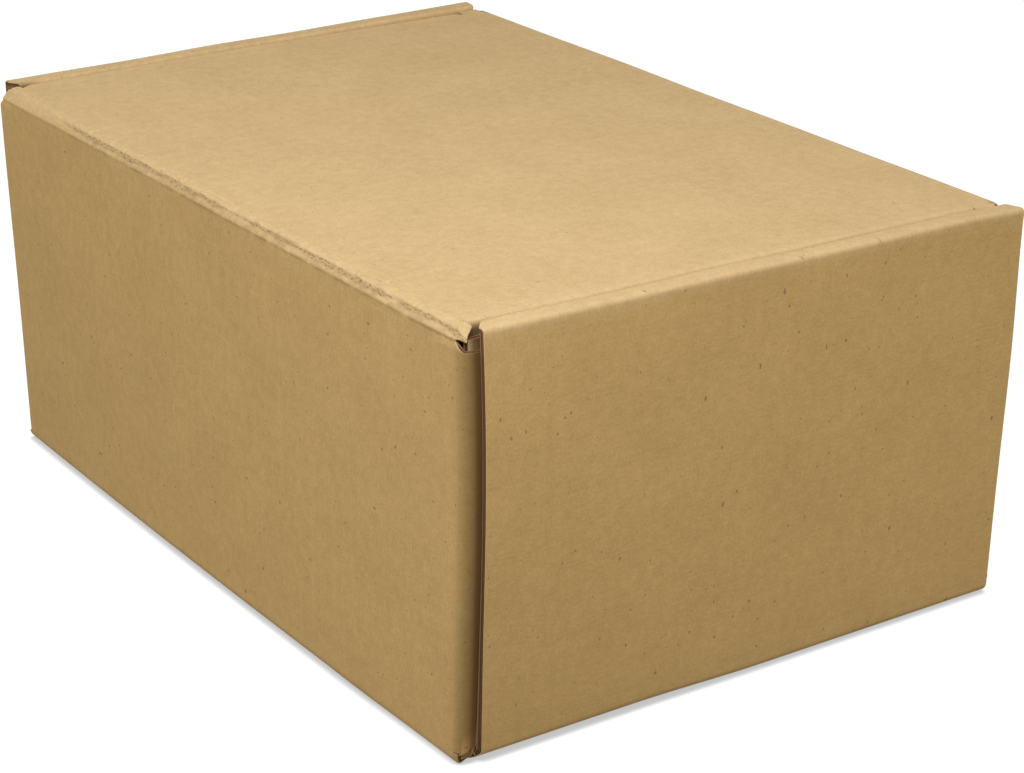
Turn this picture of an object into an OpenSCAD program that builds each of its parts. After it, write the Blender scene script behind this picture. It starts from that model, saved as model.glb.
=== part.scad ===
// Closed postal box folded from one sheet of thin brown corrugated board.
// Each short end is rolled: an outer panel stands up, turns over at the top and comes
// down inside as a second panel that locks into slots in the base. The ends of the long
// walls are folded in between those two panels. The lid hinges on the back wall, and its
// ears and tuck flap go down inside the box.
// X runs along the box, +Y points to the hinge, and Z = 0 is the underside of the base.

/* [Box] */
// Outside length, over the rolled ends
box_len = 227; // [150:1:400]
// Outside width, over the front and back walls
box_wid = 161; // [110:1:300]
// Height, to the top of the rolled ends
box_ht = 102; // [60:1:200]

/* [Board] */
// Thickness of the corrugated board
board = 1.6; // [1.2:0.1:2.4]
// Air between two layers of board that lie side by side
layer_gap = 0.3; // [0.2:0.05:0.5]
// Inside radius of the folds round the base
base_fold = 0.8; // [0.4:0.1:2]
// Inside radius of the upright bends at the ends of the long walls
corner_bend = 1.2; // [0.9:0.1:2.4]
// Inside radius of the two creases on top of a rolled end
roll_crease = 0.6; // [0.3:0.1:0.9]

/* [Rolled ends] */
// How far an outer end panel stops short of the front and back faces
end_recess = 3.8; // [3:0.1:8]
// Air between an inner end panel and the bends beside it
inner_play = 0.7; // [0.4:0.1:1.5]
// Drop from the top of the roll to the cut shoulders of the inner end panel
shoulder_drop = 3.2; // [2.4:0.1:6]
// Length of one locking tab
tab_len = 28; // [10:1:40]
// Distance of a locking tab's middle from the middle of the box
tab_place = 42; // [24:1:50]
// Air round a locking tab in its slot
slot_air = 0.3; // [0.2:0.05:0.6]

/* [Ends of the long walls] */
// How far a dust flap reaches behind the end panel
dust_reach = 58; // [20:1:68]
// Drop from the top of the roll to the top edge of a dust flap
dust_drop = 4.8; // [4:0.1:10]
// Air between the bottom edge of a dust flap and the fold of the base
dust_lift = 0.3; // [0.2:0.1:2]
// Slope of a dust flap's upper and lower edges, in degrees
dust_taper = 3; // [0:0.5:10]
// Radius of a dust flap's free corners
dust_round = 8; // [2:1:20]
// Length left off each end of the base's long folds
notch = 3.3; // [2.5:0.1:6]

/* [Lid] */
// Drop from the top of the roll to the top of the lid
lid_drop = 1; // [0.4:0.1:2]
// Inside radius of the hinge crease
hinge_fold = 1.4; // [0.8:0.1:2]
// Distance between the end of the hinge crease and the outer face of the end
hinge_short = 5.2; // [4:0.1:10]
// Inside radius of the folds that carry the ears and the tuck flap
flap_fold = 0.8; // [0.4:0.1:1.6]
// Distance between the lid's bare corners and the outer face of an ear
corner_trim = 0.4; // [0:0.1:2]
// Width of the cut between an ear's fold and a bare corner of the lid
ear_cut = 0.6; // [0.3:0.1:2]

/* [Ears of the lid] */
// Depth of an ear
ear_depth = 44; // [15:1:50]
// Distance from the hinge crease to the back edge of an ear
ear_back = 2; // [1:0.5:12]
// Distance from the front wall to the front edge of an ear
ear_front = 9; // [6:0.5:30]
// Slope of an ear's back edge, in degrees
ear_back_taper = 6; // [0:1:20]
// Slope of an ear's front edge, in degrees
ear_front_taper = 14; // [8:1:30]
// Radius of an ear's free corners
ear_round = 10; // [3:1:14]

/* [Tuck flap] */
// Depth of the tuck flap
tuck_depth = 28; // [12:1:32]
// Lean of the tuck flap away from the front wall, in degrees
tuck_lean = 7; // [6:0.5:12]
// Air between an end of the tuck flap and an ear
tuck_play = 0.7; // [0.3:0.1:3]
// Slope of the tuck flap's ends, in degrees
tuck_taper = 10; // [4:1:20]
// Radius of the tuck flap's free corners
tuck_round = 12; // [3:1:12]
// Drop from the top of the lid to the top edge of the front wall
front_drop = 0.8; // [0.4:0.1:2]

/* [Hidden] */
$fn = 48;
kraft = [0.70, 0.58, 0.39];
kraft_lid = [0.77, 0.65, 0.46];

// Outside half sizes
hx = box_len / 2;
hy = box_wid / 2;

// Outer radii of the folds
base_out = base_fold + board;
bend_out = corner_bend + board;
roll_out = roll_crease + board;
hinge_out = hinge_fold + board;
flap_out = flap_fold + board;

// The three layers of a rolled end, from the outside in
dust_face = hx - board - layer_gap;
inner_face = dust_face - board - layer_gap;
inner_back = inner_face - board;
end_half = hy - end_recess;
inner_half = hy - board - inner_play;
shoulder_z = box_ht - shoulder_drop;

// The long walls and their dust flaps
bend_x = dust_face - bend_out;
bend_y = hy - bend_out;
dust_low = base_out + dust_lift;
dust_high = box_ht - dust_drop;
fold_half = hx - notch;

// The lid
lid_top = box_ht - lid_drop;
hinge_half = hx - hinge_short;
hinge_y = hy - hinge_out;
hinge_z = lid_top - hinge_out;
hinge_split = asin(layer_gap / 2 / hinge_fold);
ear_face = inner_back - layer_gap;
corner_half = ear_face - corner_trim;
tuck_face = hy - board - layer_gap;
tuck_half = ear_face - board - tuck_play;
tuck_y = tuck_face - flap_out;
flap_z = lid_top - flap_out;
ear_y_back = hinge_y - ear_back;
ear_y_front = hy - board - ear_front;
front_top = lid_top - front_drop;

// Points of an arc round c
function arc(c, r, from, to, steps = 10) =
    [for (i = [0:steps]) let (a = from + (to - from) * i / steps) c + r * [cos(a), sin(a)]];

// A flap that hangs from the line v = 0 between u0 and u1, with leaning sides and round corners
function flap(u0, u1, depth, r, lean0, lean1) =
    let (v = -(depth - r),
         c0 = [u0 + (depth - r) * tan(lean0) + r / cos(lean0), v],
         c1 = [u1 - (depth - r) * tan(lean1) - r / cos(lean1), v])
    concat([[u0, 0]], arc(c0, r, 180 + lean0, 270), arc(c1, r, 270, 360 - lean1), [[u1, 0]]);

// Lays a flat outline (u, v) in the plane of X and Z, Y and Z or X and Y, from a depth to a depth
module in_xz(y0, y1) { translate([0, y1, 0]) rotate([90, 0, 0]) linear_extrude(y1 - y0) children(); }
module in_yz(x0, x1) { translate([x0, 0, 0]) rotate([90, 0, 90]) linear_extrude(x1 - x0) children(); }
module in_xy(z0, z1) { translate([0, 0, z0]) linear_extrude(z1 - z0) children(); }

// A rectangle between two corners
module rect(a, b) { translate(a) square(b - a); }

// The section of a fold: part of a ring between two angles, one board thick
module fold_section(r, from = 0, to = 90) {
    far = 3 * (r + board);
    mid = (from + to) / 2;
    intersection() {
        difference() {
            circle(r + board);
            circle(r);
        }
        polygon([[0, 0], for (a = [from, mid, to]) far * [cos(a), sin(a)]]);
    }
}

module both_ends() {
    children();
    mirror([1, 0, 0]) children();
}

// Base, with notched corners and four slots for the locking tabs
module base() {
    in_xy(0, board) difference() {
        union() {
            rect([-hx + base_out, -end_half], [hx - base_out, end_half]);
            rect([-fold_half, -hy + base_out], [fold_half, hy - base_out]);
        }
        for (sx = [-1, 1], sy = [-1, 1]) translate([sx * (inner_face + inner_back) / 2, sy * tab_place])
            square([board + 2 * slot_air, tab_len + 2 * slot_air], center = true);
    }
}

// Rolled end: outer panel, double crease and inner panel with its tabs, at the +X end
module rolled_end() {
    in_xz(-end_half, end_half) {
        translate([hx - base_out, base_out]) fold_section(base_fold, 270, 360);
        rect([hx - board, base_out], [hx, box_ht - roll_out]);
        translate([hx - roll_out, box_ht - roll_out]) fold_section(roll_crease, 0, 90);
        rect([inner_back + roll_out, box_ht - board], [hx - roll_out, box_ht]);
        translate([inner_back + roll_out, box_ht - roll_out]) fold_section(roll_crease, 90, 180);
    }
    in_yz(inner_back, inner_face) {
        rect([-end_half, shoulder_z - board], [end_half, box_ht - roll_out]);
        rect([-inner_half, board + layer_gap], [inner_half, shoulder_z]);
        for (s = [-1, 1]) rect([s * tab_place - tab_len / 2, layer_gap],
                               [s * tab_place + tab_len / 2, 2 * board]);
    }
}

// Upright bend and dust flap at the +X end of the wall on the +Y side
module dust_flap() {
    in_xy(dust_low, dust_high) translate([bend_x, bend_y]) fold_section(corner_bend);
    in_yz(dust_face - board, dust_face) translate([bend_y, (dust_low + dust_high) / 2]) rotate(-90)
        polygon(flap(-(dust_high - dust_low) / 2, (dust_high - dust_low) / 2,
                     dust_reach, dust_round, dust_taper, dust_taper));
}

// Long wall on the +Y side, up to its top edge, with its two dust flaps
module long_wall(top, top_half) {
    in_yz(-fold_half, fold_half)
        translate([hy - base_out, base_out]) fold_section(base_fold, 270, 360);
    in_xz(hy - board, hy) polygon([
        [-bend_x, base_out], [bend_x, base_out], [bend_x, dust_high],
        [top_half, top], [-top_half, top], [-bend_x, dust_high]]);
    both_ends() dust_flap();
}

module tray() color(kraft) {
    base();
    both_ends() rolled_end();
    long_wall(hinge_z, hinge_half);
    in_yz(-hinge_half, hinge_half)
        translate([hinge_y, hinge_z]) fold_section(hinge_fold, 0, 45 - hinge_split);
    mirror([0, 1, 0]) long_wall(front_top, hinge_half);
}

// Ear at the +X end of the lid, folded down inside the inner end panel
module ear() {
    in_xz(-ear_y_front, ear_y_back) translate([ear_face - flap_out, flap_z]) fold_section(flap_fold);
    in_yz(ear_face - board, ear_face) translate([0, flap_z])
        polygon(flap(-ear_y_front, ear_y_back, ear_depth - flap_out, ear_round,
                     ear_front_taper, ear_back_taper));
}

// Tuck flap along the front edge of the lid, folded down inside the front wall
module tuck_flap() {
    translate([0, -tuck_y, flap_z]) rotate([tuck_lean, 0, 0]) {
        in_yz(-tuck_half, tuck_half) fold_section(flap_fold, 90 - tuck_lean, 180);
        in_xz(-flap_out, -flap_fold)
            polygon(flap(-tuck_half, tuck_half, tuck_depth - flap_out, tuck_round, tuck_taper, tuck_taper));
    }
}

module lid() color(kraft_lid) {
    in_xy(lid_top - board, lid_top) {
        rect([-ear_face + flap_out, -tuck_y], [ear_face - flap_out, hinge_y]);
        rect([-corner_half, -tuck_y], [corner_half, -ear_y_front - ear_cut]);
        rect([-corner_half, ear_y_back + ear_cut], [corner_half, hinge_y]);
    }
    in_yz(-hinge_half, hinge_half)
        translate([hinge_y, hinge_z]) fold_section(hinge_fold, 45 + hinge_split, 90);
    both_ends() ear();
    tuck_flap();
}

tray();
lid();
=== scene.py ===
# %% [markdown]
# # A closed mailing box, folded from one sheet of corrugated board
# The box is a single die-cut sheet: a base, two long walls with dust flaps, two ends that are
# rolled over, and a lid with ears and a tuck flap. The lesson makes it as a factory does. It
# first cuts the flat blank, as a grid of cells on paper, and then folds every point of that
# grid in space. So each crease, slot and raw edge comes from the sheet itself.
#
# The blank has its own two coordinates, in millimetres: `a` runs along the flutes, which is
# the length of the box, and `b` runs across them. Lengths are millimetres until the last step.

import bpy
import numpy as np
from mathutils import Matrix, Vector


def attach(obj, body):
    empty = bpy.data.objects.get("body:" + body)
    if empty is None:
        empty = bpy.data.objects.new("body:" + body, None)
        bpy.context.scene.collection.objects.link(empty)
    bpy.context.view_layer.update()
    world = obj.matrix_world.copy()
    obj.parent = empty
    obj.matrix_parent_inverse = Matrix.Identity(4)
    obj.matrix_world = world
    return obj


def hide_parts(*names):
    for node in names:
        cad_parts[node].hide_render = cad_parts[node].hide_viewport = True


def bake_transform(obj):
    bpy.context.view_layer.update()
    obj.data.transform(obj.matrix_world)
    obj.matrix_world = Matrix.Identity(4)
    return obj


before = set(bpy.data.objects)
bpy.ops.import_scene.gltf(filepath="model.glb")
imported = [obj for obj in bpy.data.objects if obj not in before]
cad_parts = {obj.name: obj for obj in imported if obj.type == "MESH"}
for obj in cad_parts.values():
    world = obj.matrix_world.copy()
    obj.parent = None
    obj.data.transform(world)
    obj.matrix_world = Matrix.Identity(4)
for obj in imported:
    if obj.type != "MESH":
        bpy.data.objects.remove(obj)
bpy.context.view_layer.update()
MM = 0.001

# %% [markdown]
# ## Sizes
# Most of these are the sizes of the solid model, so that the dressed sheet lies where the solids
# lie. The sharper creases, the lower front wall and the ears set further in are the scene's own.
# A fold is given by its inside radius, and the fold lines follow from the sizes.

# %% Sizes of the box and of its board
HALF_LENGTH, HALF_WIDTH, HEIGHT = 113.5, 80.5, 102.0
BOARD = 1.6
LINER = 0.32
GAP = 0.3
FLUTE = 3.2
HALF = BOARD / 2
BASE_FOLD, CORNER_BEND, ROLL_CREASE, FLAP_FOLD = 0.8, 1.2, 0.15, 0.15

BASE_X = HALF_LENGTH - BASE_FOLD - BOARD
BASE_Y = HALF_WIDTH - BASE_FOLD - BOARD
END_HALF = HALF_WIDTH - 3.8
INNER_HALF = HALF_WIDTH - BOARD - 0.7
SHOULDER = HEIGHT - 3.2
DUST_FACE = HALF_LENGTH - BOARD - GAP
INNER_FACE = DUST_FACE - BOARD - GAP
INNER_BACK = INNER_FACE - BOARD
BEND_X = DUST_FACE - CORNER_BEND - BOARD
DUST_LOW, DUST_HIGH, BEND_LOW = BASE_FOLD + BOARD + 0.3, HEIGHT - 5.4, 1.2
LEDGE_HALF, SLIT = BEND_X + 1.4, 0.06
LID_TOP = HEIGHT - 1.0
HINGE_HALF = HALF_LENGTH - 5.7
HINGE_Y, HINGE_Z = HALF_WIDTH - 3.0, LID_TOP - 3.0
EAR_FACE = INNER_BACK - 2.6
EAR_X = EAR_FACE - FLAP_FOLD - BOARD
LID_CORNER = INNER_BACK - GAP - 0.4
EAR_BACK_Y, EAR_FRONT_Y, EAR_CUT = HINGE_Y - 2.0, -(HALF_WIDTH - BOARD - 9.0), 0.2
FRONT_TOP = LID_TOP - 3.4
TUCK_Y = HALF_WIDTH - BOARD - GAP - 2.4
TUCK_HALF = LID_CORNER - BOARD - 0.3
TUCK_LEAN = 7.0
DUST_REACH, DUST_ROUND, DUST_TAPER = 58.0, 8.0, 3.0
EAR_REACH, EAR_ROUND, EAR_BACK_TAPER, EAR_FRONT_TAPER = 44.0, 10.0, 6.0, 14.0
TUCK_REACH, TUCK_ROUND, TUCK_TAPER = 28.0, 12.0, 10.0
END_ZONE = 104.0
RECESS, RIBBON_INSETS, RIBBON_AIR, RIBBON_HALF = 0.5, (0.62, 0.10), 0.12, 0.09
INNER_MARK = 1000.0
print("base fold lines at", BASE_X, BASE_Y, "lid fold lines at", round(EAR_X, 2), round(TUCK_Y, 2))

# %% [markdown]
# ## Folded lines
# Seen from its edge, a folded sheet is a line that runs straight, turns at a crease and runs
# straight again. A bend could be made with a Bevel or a Simple Deform modifier, but here the
# heading of the line is written down as a list of steps, and the computer walks along it.
# The walk is done on the middle layer of the board, whose length does not change when it bends.

# %% A line that bends at its creases
def unit(vectors):
    """Each vector divided by its length."""
    return vectors / np.linalg.norm(vectors, axis=-1, keepdims=True)


def side_of(values):
    """-1 where the values are negative, 1 elsewhere."""
    return np.where(values < 0, -1.0, 1.0)


def bell(value, middle, width):
    """A smooth bump: 1 at its middle, and about a third at a width from it."""
    return np.exp(-((value - middle) / width) ** 2)


def folded_line(start, heading, steps):
    """Walks a line of (length, turn in degrees) steps. Inside a step the heading changes evenly
    with the length walked, and the point is the running sum of very short straight pieces."""
    knots = np.concatenate([[0.0], np.cumsum([length for length, _ in steps])])
    headings = heading + np.concatenate([[0.0], np.cumsum([turn for _, turn in steps])])
    fine = np.union1d(np.linspace(0, knots[-1], int(knots[-1] / 0.02)), knots)
    angle = np.radians(np.interp(fine, knots, headings))
    middle = (angle[1:] + angle[:-1]) / 2
    u = start[0] + np.concatenate([[0.0], np.cumsum(np.diff(fine) * np.cos(middle))])
    v = start[1] + np.concatenate([[0.0], np.cumsum(np.diff(fine) * np.sin(middle))])

    def at(s):
        return np.interp(s, fine, u), np.interp(s, fine, v), np.interp(s, fine, angle)

    return at, knots


def arc(inside_radius, turn=90.0):
    """Length of the board's middle layer round a bend, and the turn."""
    return (inside_radius + HALF) * abs(np.radians(turn)), turn


roll_flat = (HALF_LENGTH - ROLL_CREASE - BOARD) - (INNER_BACK + ROLL_CREASE + BOARD)
roll_foot = HEIGHT - ROLL_CREASE - BOARD
end_line, end_knots = folded_line((0, HALF), 0, [
    (BASE_X, 0), arc(BASE_FOLD), (roll_foot - BASE_FOLD - BOARD, 0), arc(ROLL_CREASE),
    (roll_flat, 0), arc(ROLL_CREASE), (roll_foot - BOARD - GAP, 0), (BOARD, 0)])
edge_turn, edge_radius, band, soft_radius = 50.0, 0.9, 0.9, 3.0
soft_turn = 90 - edge_turn
rise = (edge_radius * np.sin(np.radians(edge_turn)) + band * np.sin(np.radians(soft_turn))
        + soft_radius * (1 - np.cos(np.radians(soft_turn))))
edge_foot = LID_TOP - HALF - rise
back_line, back_knots = folded_line((0, HALF), 0, [
    (BASE_Y, 0), arc(BASE_FOLD), (edge_foot - BASE_FOLD - BOARD, 0),
    arc(edge_radius - HALF, edge_turn), (band, 0), arc(soft_radius - HALF, soft_turn), (30, 0)])
side_line, side_knots = folded_line((0, HALF_WIDTH - HALF), 0, [
    (BEND_X, 0), arc(CORNER_BEND, -90), (DUST_REACH, 0)])
ear_depth = EAR_REACH - FLAP_FOLD - BOARD
tuck_depth = TUCK_REACH - FLAP_FOLD - BOARD
ear_line, ear_knots = folded_line((0, LID_TOP - HALF), 0, [
    (EAR_X, 0), arc(FLAP_FOLD, -90), (ear_depth, 0)])
tuck_line, tuck_knots = folded_line((TUCK_Y, LID_TOP - HALF), 0, [
    arc(FLAP_FOLD, -90 - TUCK_LEAN), (tuck_depth, 0)])
seam_y = back_line(back_knots[6])[0]
print("crease meets the lid at y =", round(float(seam_y), 2))
print("length of blank along a:", round(2 * end_knots[-1], 1))

# %% [markdown]
# ## The shape of a flap
# Dust flaps, ears and the tuck flap all have sides that lean inwards and round free corners,
# so that they slip past each other. One function gives how far a side has come in at a depth.

# %% Side of a flap
def flap_side(depth, full, radius, lean):
    """Distance that a flap's side has moved in at a depth. It grows evenly with the lean's
    tangent, and over the last stretch it follows a circle that meets the flap's end."""
    slope = np.tan(np.radians(lean))
    straight_end = full - radius + radius * np.sin(np.radians(lean))
    centre = (full - radius) * slope + radius / np.cos(np.radians(lean))
    over = np.clip(depth - (full - radius), 0, radius)
    return np.where(depth < straight_end, depth * slope, centre - np.sqrt(radius**2 - over**2))


def flap_rows(start, full, radius, spacing):
    """Depth lines: even on the straight part, and close together round the corners."""
    straight = np.linspace(0, full - radius, max(2, int((full - radius) / spacing) + 1))
    turn = np.radians(np.array([15, 30, 42, 54, 65, 75, 84, 90]))
    return start + np.concatenate([straight, full - radius + radius * np.sin(turn)])


# %% [markdown]
# ## Everyday wear of the shape
# A folded box is never quite square. Its corners stand a little off their ideal places, one
# end panel swells where the dust flap pushes from behind, and long walls bow. The same small
# push is given to every layer at a place, so that touching layers stay in touch.

# %% Push each point of the ideal box to its worn place
# rows: the four uprights (-x-y, -x+y, +x-y, +x+y), bottom then top, in millimetres
CORNER_PUSH = np.array([
    [[-0.5, 0.7, 0.0], [-1.2, -1.3, -1.0]], [[1.8, 0.9, 0.0], [-0.1, 0.45, 0.35]],
    [[0.0, 0.0, 0.0], [1.1, 2.4, 1.45]], [[-2.6, -2.5, 0.0], [-0.6, -0.1, 0.3]]]).reshape(2, 2, 2, 3)
END_SWELL, END_LIFT, END_TUCK = 2.6, 0.82, 1.4
WALL_BOW = 1.05
TIP_OUT, TIP_BACK, ROLL_BACK, ROLL_SINK = 1.2, 0.7, 0.8, 0.45
LID_SHORT, LID_SKEW, LID_SINK, LID_RISE, LID_REACH = 1.0, 1.2, 0.2, 0.7, 2.0


def smooth(value, low, high):
    """0 below low, 1 above high, and a smooth step in between."""
    share = np.clip((value - low) / (high - low), 0, 1)
    return share**2 * (3 - 2 * share)


def settle(points, on_lid):
    """Adds smooth pushes: a straight blend of the eight corner pushes, a swelling of the -X end
    that is largest halfway up at its +Y side, a lift of that end's lower corner, which is also
    tucked in beside the wall's foot, a push of that foot, a sunk far corner of its roll, a bow
    of the back wall, a lean of the front, and slow waves a tenth of a millimetre high. Only what
    is on the lid gets the lid's own lift and sink, and its reach towards the far roll."""
    x, y, z = points[..., 0], points[..., 1], points[..., 2]
    share = [np.clip((x + HALF_LENGTH) / (2 * HALF_LENGTH), 0, 1),
             np.clip((y + HALF_WIDTH) / (2 * HALF_WIDTH), 0, 1), np.clip(z / HEIGHT, 0, 1)]
    weights = [np.stack([1 - s, s], -1) for s in share]
    push = np.einsum("...i,...j,...k,ijkc->...c", *weights, CORNER_PUSH)
    up = 4 * share[2] * (1 - share[2])
    push[..., 0] -= END_SWELL * up * share[1] ** 2 * smooth(-x, 92, 108)
    push[..., 2] += END_LIFT * smooth(y, -5, 32) * smooth(-x, 109.6, 112.6) * (1 - share[2])
    low = (1 - share[2]) ** 4
    push[..., 1] -= END_TUCK * smooth(y, 56, 76.7) * smooth(-x, 110.5, 113) * low
    push[..., 1] -= TIP_BACK * smooth(y, 56, 78) * smooth(-x, 65, 100) * low
    push[..., 0] -= TIP_OUT * smooth(y, 76.7, 80) * smooth(-x, 100, 110) * low
    far = smooth(-y, 60, 76) * smooth(-x, 104, 109) * smooth(z, 60, 98)
    push[..., 1] += ROLL_BACK * far
    push[..., 2] -= ROLL_SINK * far
    push[..., 1] += WALL_BOW * (1 - (x / HALF_LENGTH) ** 2) * (1 - share[2]) * smooth(y, 60, 78)
    lean = LID_SHORT - LID_SKEW * x / HALF_LENGTH
    push[..., 2] -= on_lid * LID_SINK * smooth(-y, 20, 76) * smooth(-x, -20, 100)
    push[..., 2] += on_lid * LID_RISE * smooth(y, -70, 10) * smooth(x, 40, 107)
    reach = on_lid * LID_REACH * smooth(x, 60, 104)
    push[..., 0] += reach * smooth(-y, -75.6, -72) * smooth(y, -70.1, -66)
    lean = lean * (on_lid + (1 - on_lid) * np.clip(1 - (x / 112) ** 12, 0, 1))
    push[..., 1] += lean * smooth(-y, 36, 76) * share[2]
    lift = np.clip(z / 30, 0, 1)
    push[..., 2] += 0.10 * lift * np.sin(x / 13 + 1.0 + y / 31) * np.sin(y / 17 + 0.4 - x / 45)
    push[..., 1] += 0.09 * lift * np.sin(x / 19 + 2.0) * np.sin(z / 15 + 0.7 + x / 60)
    push[..., 0] += 0.09 * lift * np.sin(y / 16 + 0.3) * np.sin(z / 14 + 1.9 + y / 50)
    return points + push


corners = np.array([[sx * HALF_LENGTH, sy * HALF_WIDTH, z]
                    for sx in (-1, 1) for sy in (-1, 1) for z in (0, HEIGHT)], float)
print("largest push of a corner:", round(float(np.abs(settle(corners, 0) - corners).max()), 2), "mm")

# %% [markdown]
# ## From a grid of cells to a board
# Corrugated board is two liners with a wavy paper between them. A Solidify modifier would give
# a slab with plain edges. Here every cut edge gets what a knife leaves: the two liners stand a
# little proud and the wavy paper shows between them. Where the cut crosses the flutes, it shows
# as a wave. Where it runs along them, only a dark slit shows. Both come from one formula.

# %% Cut a grid and fold it
def cut_edges(keep):
    """Cell borders that have a kept cell on one side only, as pairs of grid points, each with
    the direction that points out of the sheet. Shifting the mask by one cell finds them."""
    padded = np.pad(keep, 1)
    found = []
    for axis in (0, 1):
        low = padded[:-1, 1:-1] if axis == 0 else padded[1:-1, :-1]
        high = padded[1:, 1:-1] if axis == 0 else padded[1:-1, 1:]
        i, j = np.nonzero(low != high)
        sign = np.where(low[i, j], 1.0, -1.0)
        step = (0, 1) if axis == 0 else (1, 0)
        outward = np.zeros((len(i), 2))
        outward[:, axis] = sign
        found.append((np.stack([i, j], 1), np.stack([i + step[0], j + step[1]], 1), outward))
    return [np.concatenate(parts) for parts in zip(*found)]


def out_of_sheet(along, outward):
    """Unit vectors square to an edge, on the side that points out of the sheet."""
    across = unit(np.stack([along[:, 1], -along[:, 0]], 1))
    return across * np.sign(np.sum(across * outward, 1, keepdims=True))


def seam_at(line, half=np.inf):
    """A test for borders on a line of b, up to half a length from the middle, where the sheet
    goes on as another piece. They are no cut edges."""
    return lambda spot: (np.abs(spot[:, 1] - line) < 0.01) & (np.abs(spot[:, 0]) < half)


def crisp(angle, turn, radius):
    """How far the outer liner stands outside a round bend. A crushed crease is sharper than a
    circle: its section is |cos|^5 + |sin|^5 = 1, which bulges towards the corner."""
    phase = np.clip(angle / np.radians(turn), 0, 1) * np.pi / 2
    round_off = (np.cos(phase) ** 5 + np.sin(phase) ** 5) ** -0.2
    return radius * (round_off - 1)


class Sheet:
    """A cut sheet: which cells of its grid are board, the grid's blank coordinates once they are
    shaped, and the function that folds them."""

    def __init__(self, a_lines, b_lines, keep, shape, fold):
        a, b = np.meshgrid(np.unique(np.round(a_lines, 4)), np.unique(np.round(b_lines, 4)),
                           indexing="ij")
        self.keep = keep((a[1:, 1:] + a[:-1, 1:]) / 2, (b[1:, 1:] + b[1:, :-1]) / 2)
        self.u, self.v = shape(a, b)
        self.fold = fold


def board_mesh(sheet, is_seam, ripple, squash):
    """Makes the vertices, faces and face kinds of a sheet. The outer and inner liners are the
    folded grid moved half a board out and in, and a squash brings the inner one closer. Along
    each cut edge the rim goes down the outer liner's thickness, in to the recess, across it,
    out again and up the inner liner. Face kinds are 0 and 1 for the liners, 2 and 2.5 for their
    cut edges and 3 for the core. The inner liner's flat coordinates are moved by a mark."""
    a, b, keep = sheet.u, sheet.v, sheet.keep
    middle, normal = sheet.fold(a, b)
    rows, columns = a.shape
    index = np.arange(rows * columns).reshape(rows, columns)
    lift = ripple(a, b)
    outer = (middle + normal * lift[..., None] + normal * HALF).reshape(-1, 3)
    thinner = squash(a, b)
    inner = (middle - normal * (HALF - thinner[..., None])).reshape(-1, 3)
    blank = np.stack([a, b], -1).reshape(-1, 2)
    count = rows * columns

    i, j = np.nonzero(keep)
    ring = [index[i, j], index[i + 1, j], index[i + 1, j + 1], index[i, j + 1]]
    probe = np.cross(middle[1:, :-1] - middle[:-1, :-1], middle[:-1, 1:] - middle[:-1, :-1])
    facing = np.sum(probe * normal[:-1, :-1], -1)[keep].mean()
    order = ring if facing > 0 else ring[::-1]
    outer_faces = np.stack(order, 1)
    inner_faces = np.stack(order[::-1], 1) + count

    start, end, outward = cut_edges(keep)
    first, second = index[start[:, 0], start[:, 1]], index[end[:, 0], end[:, 1]]
    along = blank[second] - blank[first]
    across = out_of_sheet(along, outward)
    seam = is_seam((blank[first] + blank[second]) / 2)

    total, number = np.zeros((count, 2)), np.zeros(count)
    for ends in (first, second):
        np.add.at(total, ends[~seam], across[~seam])
        np.add.at(number, ends[~seam], 1)
    length2 = np.maximum(np.sum(total**2, 1, keepdims=True), 1e-9)
    inwards = -total * number[:, None] / length2
    edge_ids = np.unique(np.concatenate([first, second]))
    rim_id = np.full(count, -1)
    rim_id[edge_ids] = np.arange(len(edge_ids))

    recess_blank = blank[edge_ids] + RECESS * inwards[edge_ids]
    recess, recess_normal = sheet.fold(recess_blank[:, 0], recess_blank[:, 1])
    edge_middle, edge_normal = middle.reshape(-1, 3)[edge_ids], normal.reshape(-1, 3)[edge_ids]
    depth = HALF - LINER
    lift = lift.reshape(-1)[edge_ids][:, None]
    low = depth - thinner.reshape(-1)[edge_ids][:, None]
    loops = [edge_middle + edge_normal * (depth + lift), recess + recess_normal * (depth + lift),
             recess - recess_normal * low, edge_middle - edge_normal * low]
    points = np.concatenate([outer, inner, *loops])
    flat = np.concatenate([blank, blank + [INNER_MARK, 0], blank[edge_ids], recess_blank,
                           recess_blank, blank[edge_ids] + [INNER_MARK, 0]])

    def ring_ids(level, ids):
        if level == 0:
            return ids
        if level == 5:
            return ids + count
        return 2 * count + (level - 1) * len(edge_ids) + rim_id[ids]

    # the face runs from first to second when the sheet lies on its left, seen from outside
    tangent = middle.reshape(-1, 3)[second] - middle.reshape(-1, 3)[first]
    out3 = np.cross(tangent, normal.reshape(-1, 3)[first])
    probe_blank = blank[first] + 0.3 * across
    probe_point = sheet.fold(probe_blank[:, 0], probe_blank[:, 1])[0]
    turned = np.sum(out3 * (probe_point - middle.reshape(-1, 3)[first]), 1) < 0
    one, two = np.where(turned, second, first), np.where(turned, first, second)
    faces = [outer_faces, inner_faces]
    kinds = [np.zeros(len(outer_faces)), np.ones(len(inner_faces))]
    cut = ~seam
    for level in range(5):
        quad = np.stack([ring_ids(level, two[cut]), ring_ids(level, one[cut]),
                         ring_ids(level + 1, one[cut]), ring_ids(level + 1, two[cut])], 1)
        faces.append(quad)
        kinds.append(np.full(len(quad), (2.0, 3.0, 3.0, 3.0, 2.5)[level]))
    if seam.any():
        quad = np.stack([two[seam], one[seam], one[seam] + count, two[seam] + count], 1)
        faces.append(quad)
        kinds.append(np.full(len(quad), 3.0))
    return points, np.concatenate(faces), np.concatenate(kinds), flat


print("board:", BOARD, "mm thick, flutes", FLUTE, "mm apart")

# %% [markdown]
# ## The wavy paper in the cut edges
# The fluted medium is a wave in `b`, because the flutes run along `a`. At a cut edge it is a
# ribbon that follows the edge and rises and falls with that wave.

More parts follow.
